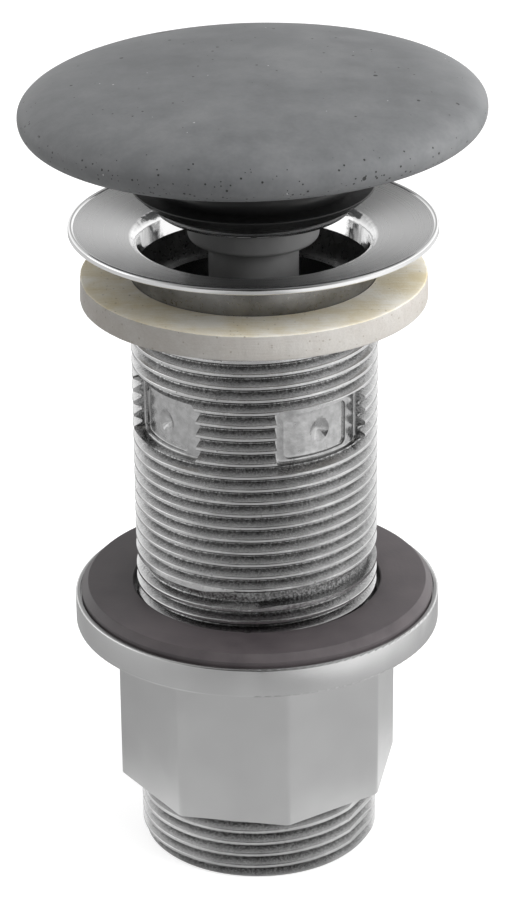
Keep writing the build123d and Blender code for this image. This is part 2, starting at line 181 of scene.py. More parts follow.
# %% Turned pieces
def turned(name, profile, sides, loop=True, ripple=None):
    """The profile (radius, height) turned round Z: a point is (r sin a, -r cos a, z).

    The angle a is counted from the front towards the right. A ripple gets a and the two
    coordinates as arrays and gives what is added to the radius and to the height.
    """
    profile = np.array(profile, float)
    angle = np.linspace(0, 2 * math.pi, sides, endpoint=False)
    radius, turn = np.meshgrid(profile[:, 0], angle, indexing="ij")
    height = np.repeat(profile[:, 1:], sides, axis=1)
    if ripple:
        wider, higher = ripple(turn, radius, height)
        radius, height = radius + wider, height + higher
    grid = np.stack([radius * np.sin(turn), -radius * np.cos(turn), height], axis=-1)
    return piece_from_grid(name, grid, loop)


# %% [markdown]
# Profiles are drawn from straight lines, round arcs and cubic curves. What isn't quite round or
# flat on the real pieces is a waver: a few sines of the angle added up, with seeded phases.


# %% Curves and wavers
def arc(centre, radius, start, end, steps):
    """Points of a round stretch of a profile, between two angles in degrees."""
    angle = np.radians(np.linspace(start, end, steps))
    x = centre[0] + radius * np.cos(angle)
    return list(zip(x, centre[1] + radius * np.sin(angle)))


def bezier(start, pull_start, pull_end, end, steps):
    """Points of a cubic curve: the four points weighted by (1-t)^3, 3t(1-t)^2, 3t^2(1-t), t^3."""
    t = np.linspace(0, 1, steps)[:, None]
    weights = np.hstack([(1 - t) ** 3, 3 * t * (1 - t) ** 2, 3 * t**2 * (1 - t), t**3])
    return [tuple(point) for point in weights @ np.array([start, pull_start, pull_end, end])]


def waver(turn, strength, turns, seed):
    """A seeded sum of sines of the angle, strongest about strength, with the given waves a turn."""
    chance = np.random.default_rng(seed)
    waves = [
        np.sin(count * turn + chance.uniform(0, 2 * math.pi)) * chance.uniform(0.4, 1)
        for count in turns
    ]
    return strength * sum(waves) / math.sqrt(len(turns))


# %% [markdown]
# ## Cutting tools
#
# Windows and threads are cuts. On a grid they would need rows and columns that follow every
# edge, so this is the one place where another way gives the truer shape: a tool is computed as
# a closed surface, and an exact Boolean takes it out of the turned blank, as a cutter would.


# %% Cut a tool out of a piece
def boolean(piece, tool, operation="DIFFERENCE"):
    """Applies one exact Boolean to a piece and removes the tool."""
    step = piece.modifiers.new(tool.name, "BOOLEAN")
    step.operation = operation
    step.solver = "EXACT"
    step.object = tool
    bpy.context.view_layer.objects.active = piece
    bpy.ops.object.modifier_apply(modifier=step.name)
    bpy.data.objects.remove(tool)


# %% [markdown]
# ## The thread
#
# A pipe thread has one start, 11 turns to the inch, flanks at 55 degrees to each other, and
# crests and roots rounded by the same small arc. The arc matters to the eye: its upper part
# mirrors the dark room and its lower part the pale floor, which draws a dark and a white line
# along every turn. The tool is the section of the groove carried up a helix, lifted out of the
# metal over the last turn as a thread runs out. A small seeded waver of depth and height leaves
# the crests a little uneven, as cast ones are. A cut over the tips left each crest a flat, which
# is the light line that runs along every turn.

# %% Section of the groove
pitch = 2.309
crest_radius = 20.955
thread_depth = 1.48
thread_rounding = 0.317
crest_rounding = 0.2
crest_flat = 0.28
flank_slope = math.radians(27.5)
groove_lip = 0.3


def groove_outline():
    """Points (radius, height) of the groove's section, its lower half the mirror of the upper.

    A lip outside the metal, the arc that rounds the crest's flat off, and after the straight
    flank the arc of the root. Each arc turns as far as a flank of 27.5 degrees is steep.
    """
    steep = math.pi / 2 - flank_slope
    crest_turn, root_turn = np.linspace(0.15, steep, 5), np.linspace(steep, 0, 4)
    crest_away = crest_radius - crest_rounding * (1 - np.cos(crest_turn))
    crest_rise = (pitch - crest_flat) / 2 - crest_rounding * np.sin(crest_turn)
    root_away = crest_radius - thread_depth + thread_rounding * (1 - np.cos(root_turn))
    root_rise = thread_rounding * np.sin(root_turn)
    away = np.concatenate([[crest_radius + groove_lip], crest_away, root_away])
    rise = np.concatenate([crest_rise[:1], crest_rise, root_rise])
    upper = np.stack([away, rise], axis=-1)
    return np.vstack([upper, upper[-2::-1] * (1, -1)])


groove_section = groove_outline()
print("section of the groove:", len(groove_section), "points")

# %% [markdown]
# The tool is that section at many angles, each a little higher than the one before. Where a
# thread runs out, the section moves out of the metal.

# %% Thread tool
steps_a_turn = 120
lift_clearance = 0.1
lift_curve = 1.5
depth_waver = 0.018
height_waver = 0.014


def thread_tool(name, front_centre, low_centre, high_centre, low_runout, high_runout, seed):
    """The groove's section on a helix: at the angle a it is front_centre + pitch a / 2 pi high.

    The ends are given by the height of the groove's centre; over the run-outs, in turns, the
    section moves out by the thread's depth.
    """
    low = (low_centre - front_centre) / pitch
    high = (high_centre - front_centre) / pitch
    turns = np.linspace(low, high, int((high - low) * steps_a_turn))
    angle = 2 * math.pi * turns
    lift_low = np.clip(1 - (turns - low) / max(low_runout, 1e-6), 0, 1)
    lift_high = np.clip(1 - (high - turns) / max(high_runout, 1e-6), 0, 1)
    lift = (thread_depth + lift_clearance) * np.maximum(lift_low, lift_high) ** lift_curve
    lift = lift + waver(angle, depth_waver, (2.3, 5.1, 11.7, 23.9), seed)
    rise = waver(angle, height_waver, (3.7, 7.9, 17.3, 31.1), seed + 1)
    radius = groove_section[:, 0][None] + lift[:, None]
    height = front_centre + pitch * turns[:, None] + groove_section[:, 1][None] + rise[:, None]
    turn = np.repeat(angle[:, None], len(groove_section), axis=1)
    grid = np.stack([radius * np.sin(turn), -radius * np.cos(turn), height], axis=-1)
    return piece_from_grid(name, grid, False)


# %% [markdown]
# ## The waste body
#
# One casting, turned on the flange and in the throat. Its blank is a single profile: the dished
# flange with a bead on its rim, the throat, the ledge, the bore, and outside the boss and the
# tube at the size of the crests. The spider's hub and arms are joined to it, then the overflow
# windows and the thread are cut.

# %% Body blank
dish_depth = 2.55
bead_width = 0.9
bead_rise = 0.25
bead_crown = 0.1
throat_radius = 19.6
throat_rounding = 1.7
throat_foot = (19.5, flange_top - 7.1)
ledge = (18.7, flange_top - 12.2)
tube_bore_radius = 17.0
boss_radius = 20.75
underside_level = flange_top - 3.3
seat_radius = 24.5
rim_low = flange_top - 1.2
edge_break = 0.2
relief_top = flange_top - 59.5
relief_low = relief_top - 2.0
relief_chamfer = 0.15
root_radius = crest_radius - thread_depth
lead_in = 1.0
body_sides = 288


def throat_corner():
    """The rounding between the dish and the throat: the arc that touches both straight lines."""
    dish_end = np.array([flange_radius - bead_width, flange_top - bead_rise])
    corner = np.array([throat_radius, flange_top - dish_depth])
    out, down = dish_end - corner, np.array(throat_foot) - corner
    out, down = out / np.linalg.norm(out), down / np.linalg.norm(down)
    half = math.acos(out @ down) / 2
    centre = corner + (out + down) / np.linalg.norm(out + down) * throat_rounding / math.sin(half)
    start = math.degrees(math.atan2(-down[0], down[1]))
    end = math.degrees(math.atan2(out[0], -out[1]))
    return arc(centre, throat_rounding, start, end, 9)


bead = bezier(
    (flange_radius - bead_width, flange_top - bead_rise),
    (flange_radius - 0.75 * bead_width, flange_top + bead_crown),
    (flange_radius, flange_top + bead_crown),
    (flange_radius, flange_top - 2.2 * bead_rise),
    13,
)
body_profile = throat_corner() + bead + [
    (flange_radius, rim_low + edge_break),
    (flange_radius - edge_break, rim_low),
    (seat_radius, underside_level),
    (boss_radius, underside_level),
    (boss_radius, gasket_level),
    (crest_radius, gasket_level),
    (crest_radius, relief_top),
    (root_radius, relief_top - relief_chamfer),
    (root_radius, relief_low + relief_chamfer),
    (crest_radius, relief_low),
    (crest_radius, tube_low + lead_in),
    (crest_radius - lead_in, tube_low),
    (tube_bore_radius, tube_low),
    (tube_bore_radius, ledge[1]),
    ledge,
    throat_foot,
]
body = turned("body_threaded", body_profile, body_sides)
print("blank of the body:", len(body.data.vertices), "points")

# %% [markdown]
# The spider that carries the guide barrel is cast in one with the tube: a hub with a hole for
# the screw, and four arms whose outer ends lie in the tube's wall. An arm is a rounded
# rectangle carried outwards along a straight line.

# %% Spider
hub_radius = 8.0
hub_hole_radius = 3.01
arm_thickness = 3.0
arm_reach = 18.2
arm_root = hub_radius - 2
arm_rounding = 0.4


def rounded_outline(width, height, corner, growth=0.0, corner_steps=6):
    """A rectangle with round corners, grown by a distance: corner centres plus corner arcs.

    The straight sides get points too, so that they can follow the tube when they are wrapped.
    """
    angle = np.radians(np.linspace(0, 90, corner_steps)[None] + np.arange(0, 360, 90)[:, None])
    side_x = np.array([1, -1, -1, 1])[:, None] * (width / 2 - corner)
    side_y = np.array([1, 1, -1, -1])[:, None] * (height / 2 - corner)
    x = side_x + (corner + growth) * np.cos(angle)
    y = side_y + (corner + growth) * np.sin(angle)
    corners = np.stack([x, y])
    side_steps = 14 if width / 2 > corner else 0
    part_way = np.linspace(0, 1, side_steps + 2)[1:-1]
    start, end = corners[:, :, -1:], np.roll(corners, -1, axis=1)[:, :, :1]
    sides = start + (end - start) * part_way
    return np.concatenate([corners, sides], axis=2).reshape(2, -1)


def bar(name, outline, near, far, azimuth, level):
    """An outline (side, height) carried straight outwards, from a near to a far distance.

    At the angle a the way out is (sin a, -cos a), and the side lies along (cos a, sin a).
    """
    side, rise = outline
    away = np.array([near, far])[:, None] + 0 * side
    side, height = side + 0 * away, rise + level + 0 * away
    x = away * math.sin(azimuth) + side * math.cos(azimuth)
    y = side * math.sin(azimuth) - away * math.cos(azimuth)
    return piece_from_grid(name, np.stack([x, y, height], axis=-1), False)


hub_profile = [
    (hub_hole_radius, spider_low), (hub_radius, spider_low),
    (hub_radius, spider_top), (hub_hole_radius, spider_top),
]
boolean(body, turned("hub", hub_profile, 96), "UNION")
arm_outline = rounded_outline(arm_thickness, spider_top - spider_low, arm_rounding)
arm_level = (spider_top + spider_low) / 2
for azimuth in np.radians((90, 180, 270, 360)):
    boolean(body, bar("arm", arm_outline, arm_root, arm_reach, azimuth, arm_level), "UNION")
print("body with its spider:", len(body.data.vertices), "points")

# %% [markdown]
# Four knock-out windows let an overflow drain into the tube. Each is a pocket down to a thin
# wall, in it a lower panel a little to one side, and in that a conical dimple where the drill
# starts. One helper makes all three tools: a rounded outline is wrapped round the tube, so that
# its sides are radial, and for every row it is scaled, grown and lifted. A small round foot is
# left in the corners.

# %% Overflow windows
window_azimuths = [35.1, 125.1, 215.1, 305.1]
window_height = 10.4
window_drop = 25.8
window_level = flange_top - window_drop - window_height / 2
window_floor = 18.8
window_half_angle = math.radians(26.1)
window_corner = 1.1
window_foot = 0.35
window_lid = 4
window_width = 2 * window_floor * math.sin(window_half_angle)
window_size = (window_width, window_height, window_corner)
panel_size = (12.2, 8.0, window_corner)
panel_foot = 0.15
panel_lid = 2
panel_level = window_level - 0.6
panel_shift = -0.6
panel_floor = 18.35
dimple_radius = 2.0
dimple_size = (2 * dimple_radius, 2 * dimple_radius, dimple_radius)
dimple_depth = 0.9
dimple_tip = 0.5


def sunken_tool(name, size, floor_radius, rows, azimuth, level, shift):
    """A tool over a rounded outline: row by row it is scaled by s, grown by g and lifted by h.

    A width x on the outline is a chord of the floor, so it turns by asin(x / floor_radius), and
    the point lies at floor_radius + h from the axis.
    """
    outlines = [rounded_outline(*size, growth=row[1]) for row in rows]
    scale = np.array(rows)[:, :1]
    x = np.array([outline[0] for outline in outlines]) * scale + shift
    z = np.array([outline[1] for outline in outlines]) * scale + level
    away = floor_radius + np.array(rows)[:, 2:]
    turn = math.radians(azimuth) + np.arcsin(x / floor_radius)
    grid = np.stack([away * np.sin(turn), -away * np.cos(turn), z], axis=-1)
    return piece_from_grid(name, grid, False)


def pocket_rows(foot, rise):
    """Rows of a pocket: a floor from its middle out, a round foot, a wall, and a lid above."""
    floor = [(s, -foot, 0) for s in np.linspace(0, 1, 7)]
    bend = [
        (1, -foot + foot * math.sin(a), foot - foot * math.cos(a))
        for a in np.radians((30, 60, 90))
    ]
    lid = [(s, 0, rise) for s in np.linspace(1, 0, 7)]
    return floor + bend + lid


def dimple_rows():
    """Rows of a cone from a small flat tip out past the panel."""
    slope = dimple_depth / (dimple_radius - dimple_tip)
    reach = np.array([0, dimple_tip, dimple_radius, 2 * dimple_radius - dimple_tip])
    height = np.maximum(reach - dimple_radius, dimple_tip - dimple_radius) * slope
    rows = [(r / dimple_radius, 0, h) for r, h in zip(reach, height)]
    return rows + [(0, 0, height[-1])]


window_rows = pocket_rows(window_foot, window_lid)
panel_rows = pocket_rows(panel_foot, panel_lid)
window_tools = (
    ("pocket", window_size, window_floor, window_rows, window_level, 0),
    ("panel", panel_size, panel_floor, panel_rows, panel_level, panel_shift),
    ("dimple", dimple_size, panel_floor, dimple_rows(), panel_level, 0),
)
for azimuth in window_azimuths:
    for name, size, floor_radius, rows, level, shift in window_tools:
        boolean(body, sunken_tool(name, size, floor_radius, rows, azimuth, level, shift))
print("body with its windows:", len(body.data.vertices), "points")

# %% [markdown]
# The tube's thread runs from just under the boss down to the relief, and a second stretch from
# the relief through the nut to the tube's lower end. Where a stretch ends in the open, its tool
# goes on a little past the metal. Under the boss it fades out over most of a turn.

# %% Thread of the tube
upper_front_centre = 94.63
lower_front_centre = 51.6
boolean(body, thread_tool(
    "upper_thread", upper_front_centre, relief_top - 0.3, gasket_level - 1.2,
    low_runout=0.05, high_runout=0.7, seed=11,
))
boolean(body, thread_tool(
    "lower_thread", lower_front_centre, tube_low - 1.5, relief_low + 0.5,
    low_runout=0.05, high_runout=0.05, seed=23,
))
smooth(body)
print("body with its thread:", len(body.data.polygons), "faces")

# %% [markdown]
# ## The outlet nut
#
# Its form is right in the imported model, and only its thread and the shallow flat that is left
# on the thread's right side are missing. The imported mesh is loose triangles, so a copy is
# merged first, and the same tools cut it.

# %% Outlet nut
outlet_front_centre = 10.63
outlet_thread_top = 12.8
flat_azimuth = math.radians(61)
flat_depth = 0.5
flat_width = 16
flat_corner = 0.01
flat_height = outlet_thread_top + 0.98
flat_level = (outlet_thread_top - 1) / 2


def merged_copy(node, name):
    """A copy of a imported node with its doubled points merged."""
    mesh = frame["nodes"][node].data.copy()
    mesh.name = name
    shape = bmesh.new()
    shape.from_mesh(mesh)
    bmesh.ops.remove_doubles(shape, verts=shape.verts, dist=weld_distance)
    shape.to_mesh(mesh)
    shape.free()
    mesh.attributes.remove(mesh.attributes["custom_normal"])
    piece = bpy.data.objects.new(name, mesh)
    bpy.context.scene.collection.objects.link(piece)
    return piece


nut = merged_copy("outlet_nut", "nut_threaded")
boolean(nut, thread_tool(
    "outlet_thread", outlet_front_centre, -1.5, outlet_thread_top - 1.25,
    low_runout=0.05, high_runout=0.4, seed=37,
))
flat_outline = rounded_outline(flat_width, flat_height, flat_corner, corner_steps=2)
boolean(nut, bar(
    "flat", flat_outline, crest_radius - flat_depth, crest_radius + 2, flat_azimuth, flat_level
))
smooth(nut)
print("nut with its thread:", len(nut.data.polygons), "faces")

# %% [markdown]
# ## Gaskets and seal
#
# The basin gasket is stamped from a foam sheet: its faces are flat, its cut edge is a little
# ragged. The nut gasket is moulded with a bevel round its top and a small nick in its bore. The
# plug's seal is a soft ring with a thick neck and a thin lip. All three are profiles with
# rounded corners, turned; the two gaskets have ripples that fade away from the edges.

# %% Basin gasket
gasket_radius = node_box("basin_gasket")[1][0]
gasket_bore_radius = 20.85
gasket_edge = 0.3


def gasket_ripple(turn, radius, height):
    """Waver of the cut edge: full at the rim, gone two millimetres inside it, more on top."""
    rim = np.clip((radius - gasket_radius + 2) / 2, 0, 1)
    ragged = waver(turn, 0.05, (5, 13, 29, 47, 83, 131), 3) - 0.1
    upper = (height > (gasket_level + gasket_top) / 2) * 1.0
    lift = waver(turn, 0.035, (3, 7, 19, 41, 97), 4) - 0.06
    return rim * ragged * (0.5 + upper), rim * upper * lift


gasket_profile = (
    arc((gasket_radius - gasket_edge, gasket_level + gasket_edge), gasket_edge, -90, 0, 4)
    + arc((gasket_radius - gasket_edge, gasket_top - gasket_edge), gasket_edge, 0, 90, 4)
    + [(gasket_radius - 1.2, gasket_top), (gasket_radius - 4, gasket_top)]
    + [(gasket_bore_radius, gasket_top), (gasket_bore_radius, gasket_level)]
)
basin_gasket = turned("gasket_foam", gasket_profile, 360, ripple=gasket_ripple)
smooth(basin_gasket, 50)
print("basin gasket:", len(basin_gasket.data.polygons), "faces")

# %% Nut gasket
nut_gasket_radius = node_box("nut_gasket")[1][0]
nut_gasket_bore_radius = 21.5
bevel = 1.15
bevel_edge = 0.25
bevel_rounding = 0.3
bore_rounding = 0.4
nick_azimuth = math.radians(-5)
nick_depth = 0.5


def nut_gasket_ripple(turn, radius, height):
    """A faint waver of the bore, and a nick half a millimetre deep at one place of it."""
    bore = np.clip((nut_gasket_bore_radius + 1 - radius) / 1, 0, 1)
    away = (turn + math.pi) % (2 * math.pi) - math.pi - nick_azimuth
    nick = nick_depth * np.exp(-((away / 0.02) ** 2))
    return bore * (nick + waver(turn, 0.03, (2, 5, 9), 5) + 0.03), 0 * height


bevel_low = nut_gasket_top - bevel - 0.1
bevel_inside = nut_gasket_radius - bevel - 0.12
bore_edge = (nut_gasket_bore_radius + bore_rounding, nut_gasket_top - bore_rounding)
nut_gasket_profile = (
    [(nut_gasket_bore_radius, nut_gasket_low), (nut_gasket_radius, nut_gasket_low)]
    + arc((nut_gasket_radius - bevel_edge, bevel_low), bevel_edge, 0, 45, 4)
    + arc((bevel_inside, nut_gasket_top - bevel_rounding), bevel_rounding, 45, 90, 5)
    + [(nut_gasket_bore_radius + 2, nut_gasket_top)]
    + arc(bore_edge, bore_rounding, 90, 180, 5)
)
nut_gasket = turned("gasket_dark", nut_gasket_profile, 256, ripple=nut_gasket_ripple)
smooth(nut_gasket, 40)
print("nut gasket:", len(nut_gasket.data.polygons), "faces")

# %% Plug seal
seal_foot_radius = 16.6
seal_bore_radius = 10.7
seal_neck_radius = 15.9
seal_lip_radius = node_box("plug_seal")[1][0]
seal_blend = 1.4
lip_top = flange_top + 7.1
lip_thickness = 0.45
lip_round = lip_thickness / 2

seal_profile = (
    [(seal_bore_radius, plate_top), (seal_foot_radius, plate_top)]
    + bezier(
        (seal_foot_radius, plate_top),
        (seal_foot_radius + 1.8, plate_top + 0.5),
        (seal_lip_radius - 0.9, lip_top - lip_thickness - 0.7),
        (seal_lip_radius - lip_round, lip_top - lip_thickness),
        12,
    )[1:]
    + arc((seal_lip_radius - lip_round, lip_top - lip_round), lip_round, -60, 90, 6)
    + arc((seal_neck_radius + seal_blend, lip_top + seal_blend), seal_blend, 270, 180, 8)
    + [(seal_neck_radius, cap_underside), (seal_bore_radius, cap_underside)]
)
seal = turned("seal_moulded", seal_profile, 256)
smooth(seal)
print("seal:", len(seal.data.polygons), "faces")

# %% [markdown]
# ## Cap, plate and sleeve
#
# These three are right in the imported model, but their faces are coarse for a stone edge and for
# polished metal, so they are turned again on finer grids from the same outlines. The cap is
# poured into a mould and rubbed down by hand, so its face swells a few hundredths of a
# millimetre here and there. On this one it also leans by one degree, its right side up, while
# the flat that the seal touches stays level.

# %% Cap
cap_radius = node_box("cap")[1][0]
cap_flat_radius = 31.9
cap_equator_rise = 3.95
cap_equator = cap_underside + cap_equator_rise
cap_crown_rise = cap_crown - cap_equator
cap_under_pull = 0.6 * cap_equator_rise
cap_edge_pull = 0.88 * cap_crown_rise
cap_crown_pull = 18.5
cap_lean = math.tan(math.radians(1.06))
lean_start = 18
lean_blend = 8
lean_drop = 0.15
swell_bias = 0.06
bush_radius = 6.0
bush_waist_radius = 5.4
bush_top = cap_underside + 5.0
waist_low = cap_underside + 1.6
waist_top = cap_underside + 3.4


def cap_ripple(turn, radius, height):
    """Slow swells of a few hundredths of a millimetre, and the lean: x times its tangent.

    The swells end at the middle and on the underside. The lean spares the bush and the seat, and
    is taken down by the rise that it would give the crown.
    """
    share = np.clip((height - cap_underside) / 4, 0, 1) * np.clip(radius / 10, 0, 1)
    swell = waver(turn + radius / 17, 0.03, (2, 3, 5, 8), 6) + waver(turn, 0.015, (13, 21), 7)
    outside = np.clip((radius - lean_start) / lean_blend, 0, 1)
    outside = np.maximum(outside, (height > bush_top + 1) * 1.0)
    lean = outside * (radius * np.sin(turn) * cap_lean - lean_drop)
    return share * (swell - swell_bias), share * 0.3 * (swell - swell_bias) + lean


crown = bezier(
    (cap_radius, cap_equator), (cap_radius, cap_equator + cap_edge_pull),
    (cap_radius - cap_crown_pull, cap_crown), (0, cap_crown), 72,
)
edge = bezier(
    (cap_flat_radius, cap_underside), (cap_radius - cap_under_pull, cap_underside),
    (cap_radius, cap_equator - cap_under_pull), (cap_radius, cap_equator), 24,
)
cap_profile = [
    (0, bush_top), (bush_radius, bush_top), (bush_radius, waist_top),
    (bush_waist_radius, waist_top), (bush_waist_radius, waist_low), (bush_radius, waist_low),
    (bush_radius, cap_underside), (lean_start, cap_underside), (22, cap_underside),
    (26, cap_underside),
] + edge + crown[1:]
cap = turned("cap_cast", cap_profile, 360, loop=False, ripple=cap_ripple)
smooth(cap, 50)
print("cap:", len(cap.data.polygons), "faces")

# %% Seal plate
plate_radius = node_box("seal_plate")[1][0]
plate_foot_radius = 15.4
plate_bore_radius = 10.45
plate_profile = (
    [(plate_bore_radius, plate_top), (plate_bore_radius, plate_low)]
    + bezier(
        (plate_foot_radius, plate_low), (plate_foot_radius + 0.8, plate_low),
        (plate_radius, plate_low + 0.45), (plate_radius, plate_top - 0.15), 12,
    )
    + [(plate_radius - 0.12, plate_top)]
)
plate = turned("plate_polished", plate_profile, 256)
smooth(plate, 40)
print("plate:", len(plate.data.polygons), "faces")

# %% Outer sleeve
sleeve_radius = node_box("outer_sleeve")[1][0]
sleeve_neck_radius = 10.4
sleeve_bore_radius = 7.7
pocket_radius = 9.8
pocket_top = sleeve_low + 4.1
sleeve_ceiling = node_box("plug_screw")[0][2] + 2.4
sleeve_hole_radius = 3.01
sleeve_rounding = 0.9
sleeve_profile = (
    [
        (sleeve_hole_radius, sleeve_top), (sleeve_hole_radius, sleeve_ceiling),
        (sleeve_bore_radius, sleeve_ceiling), (sleeve_bore_radius, pocket_top),
        (pocket_radius, pocket_top), (pocket_radius, sleeve_low),
    ]
    + arc(
        (sleeve_radius - sleeve_rounding, sleeve_low + sleeve_rounding),
        sleeve_rounding, -90, 0, 8,
    )
    + [
        (sleeve_radius, plate_low), (sleeve_neck_radius, plate_low),
        (sleeve_neck_radius, sleeve_top),
    ]
)
sleeve = turned("sleeve_moulded", sleeve_profile, 192)
smooth(sleeve)
print("sleeve:", len(sleeve.data.polygons), "faces")

# %% [markdown]
# ## Drawing finishes
#
# Every finish is a Principled shader with its constants set on its own sockets, and a few
# patterns in Object coordinates, which are the part's own metres. The helpers speak of sizes in
# millimetres: a noise is named by the width of its blots, a bump by the depth of its relief.


# %% A finish and its nodes
def finish(name, colour, metallic, roughness, **settings):
    """A new material: its tree and its Principled shader, with plain values set."""
    material = bpy.data.materials.new(name)
    material.use_nodes = True
    shader = material.node_tree.nodes["Principled BSDF"]
    shader.inputs["Base Color"].default_value = (*colour, 1)
    shader.inputs["Metallic"].default_value = metallic
    shader.inputs["Roughness"].default_value = roughness
    for socket, value in settings.items():
        shader.inputs[socket.replace("_", " ")].default_value = value
    print("finish:", name)
    return material, material.node_tree, shader


def add_node(tree, kind, inputs=(), **properties):
    """A node of the given kind; inputs are (socket, value or output) pairs."""
    node = tree.nodes.new(kind)
    for name, value in properties.items():
        setattr(node, name, value)
    for socket, value in inputs:
        if isinstance(value, bpy.types.NodeSocket):
            tree.links.new(value, node.inputs[socket])
        else:
            node.inputs[socket].default_value = value
    return node


def grey(value, warm=0.0):
    """A grey, warmer above 0 and cooler below."""
    return (value * (1 + warm), value, value * (1 - warm))


# %% [markdown]
# A pattern has to keep its place on a piece that moves, so the place is always read from the
# piece's own coordinates: all three of them, one of them, or the distance from the axis that
# the piece was turned round.


# %% Places on a piece
def own_coordinates(tree, stretch=(1, 1, 1), shift=(0, 0, 0)):
    """The piece's own metres, stretched along its axes."""
    place = add_node(tree, "ShaderNodeTexCoord").outputs["Object"]
    return add_node(
        tree, "ShaderNodeMapping", [("Vector", place), ("Scale", stretch), ("Location", shift)]
    ).outputs["Vector"]


def along(tree, axis):
    """The place along one of the piece's axes, in metres."""
    return add_node(
        tree, "ShaderNodeSeparateXYZ", [("Vector", own_coordinates(tree))]
    ).outputs[axis]


def length_of(tree, vector):
    """The length of a vector."""
    return add_node(
        tree, "ShaderNodeVectorMath", [(0, vector)], operation="LENGTH"
    ).outputs["Value"]


def from_axis(tree):
    """The distance from the object's axis, in metres."""
    return length_of(tree, own_coordinates(tree, (1, 1, 0)))


# %% [markdown]
# Between a pattern and a socket stand a few small steps: a range carried over into another, an
# arithmetic step, a ramp of colours, and one colour laid over another.


# %% Steps between values
def span(tree, value, low, high, to_low, to_high):
    """Carries a value from one range to another and holds it at the ends."""
    return add_node(
        tree, "ShaderNodeMapRange",
        [
            ("Value", value), ("From Min", low), ("From Max", high),
            ("To Min", to_low), ("To Max", to_high),
        ],
    ).outputs["Result"]


def combine(tree, operation, first, second):
    """One arithmetic step between two values."""
    return add_node(
        tree, "ShaderNodeMath", [(0, first), (1, second)], operation=operation
    ).outputs["Value"]


def tint(tree, value, stops):
    """A colour ramp with (place, colour) stops."""
    ramp = add_node(tree, "ShaderNodeValToRGB", [("Fac", value)])
    elements = ramp.color_ramp.elements
    for number, (place, colour) in enumerate(stops):
        element = elements[number] if number < 2 else elements.new(place)
        element.position = place
        element.color = (*colour, 1)
    return ramp.outputs["Color"]


def overlay(tree, share, under, colour):
    """A plain colour laid over another in the given share: 0 leaves what is under it."""
    first, second, result = 6, 7, 2
    return add_node(
        tree, "ShaderNodeMix", [("Factor", share), (first, under), (second, (*colour, 1))],
        data_type="RGBA",
    ).outputs[result]


# %% [markdown]
# Three patterns do for all the finishes: blots for clouds, grain and scratches, rings for what
# a lathe leaves, and pits for bubbles, soot and specks.


# %% Patterns
def blots(tree, width, detail=3.0, stretch=(1, 1, 1), seed=0.0, roughness=0.5):
    """Noise between 0 and 1 whose blots are about as wide as given, in millimetres."""
    return add_node(
        tree, "ShaderNodeTexNoise",
        [
            ("Vector", own_coordinates(tree, stretch, (seed, seed, seed))),
            ("Scale", 1 / (width * MM)), ("Detail", detail), ("Roughness", roughness),
        ],
    ).outputs["Fac"]


def rings(tree, width, place):
    """Noise along one measure, such as the distance from the axis: rings of about a width."""
    return add_node(
        tree, "ShaderNodeTexNoise", [("W", place), ("Scale", 1 / (width * MM)), ("Detail", 2.0)],
        noise_dimensions="1D",
    ).outputs["Fac"]


def pits(tree, spacing, radius, share, seed=0.0):
    """Round pits: 1 in a pit, 0 outside; one in each cell, kept in a share of the cells."""
    cells = add_node(
        tree, "ShaderNodeTexVoronoi",
        [
            ("Vector", own_coordinates(tree, shift=(seed, seed, seed))),
            ("Scale", 1 / (spacing * MM)),
        ],
    )
    chance = add_node(tree, "ShaderNodeSeparateColor", [("Color", cells.outputs["Color"])])
    size = span(tree, chance.outputs["Green"], 0, 1, 0.4 * radius / spacing, radius / spacing)
    inside = combine(tree, "LESS_THAN", cells.outputs["Distance"], size)
    kept = combine(tree, "LESS_THAN", chance.outputs["Red"], share)
    return combine(tree, "MULTIPLY", inside, kept)


# %% [markdown]
# A pattern may change three things on a surface: its relief, its gloss and its colour. A noise
# seldom leaves its middle range, so that range is what is carried over to the values wanted.

# %% What a pattern changes
noise_low = 0.3
noise_high = 0.7


def relief(tree, shader, *layers):
    """Bump nodes in a chain; each layer is a height and the depth of its full swing."""
    normal = None
    for height, depth in layers:
        inputs = [("Height", height), ("Distance", depth * MM)]
        if normal is not None:
            inputs.append(("Normal", normal))
        normal = add_node(tree, "ShaderNodeBump", inputs).outputs["Normal"]
    tree.links.new(normal, shader.inputs["Normal"])


def swing(tree, noise, low, high):
    """A noise whose middle range is carried over to the range from low to high."""
    return span(tree, noise, noise_low, noise_high, low, high)


def uneven_gloss(tree, shader, noise, low, high):
    """Roughness that follows a noise from low to high."""
    tree.links.new(swing(tree, noise, low, high), shader.inputs["Roughness"])


def uneven_colour(tree, shader, noise, low, high):
    """Base colour that follows a noise from one colour to another."""
    colours = tint(tree, noise, [(noise_low, low), (noise_high, high)])
    tree.links.new(colours, shader.inputs["Base Color"])
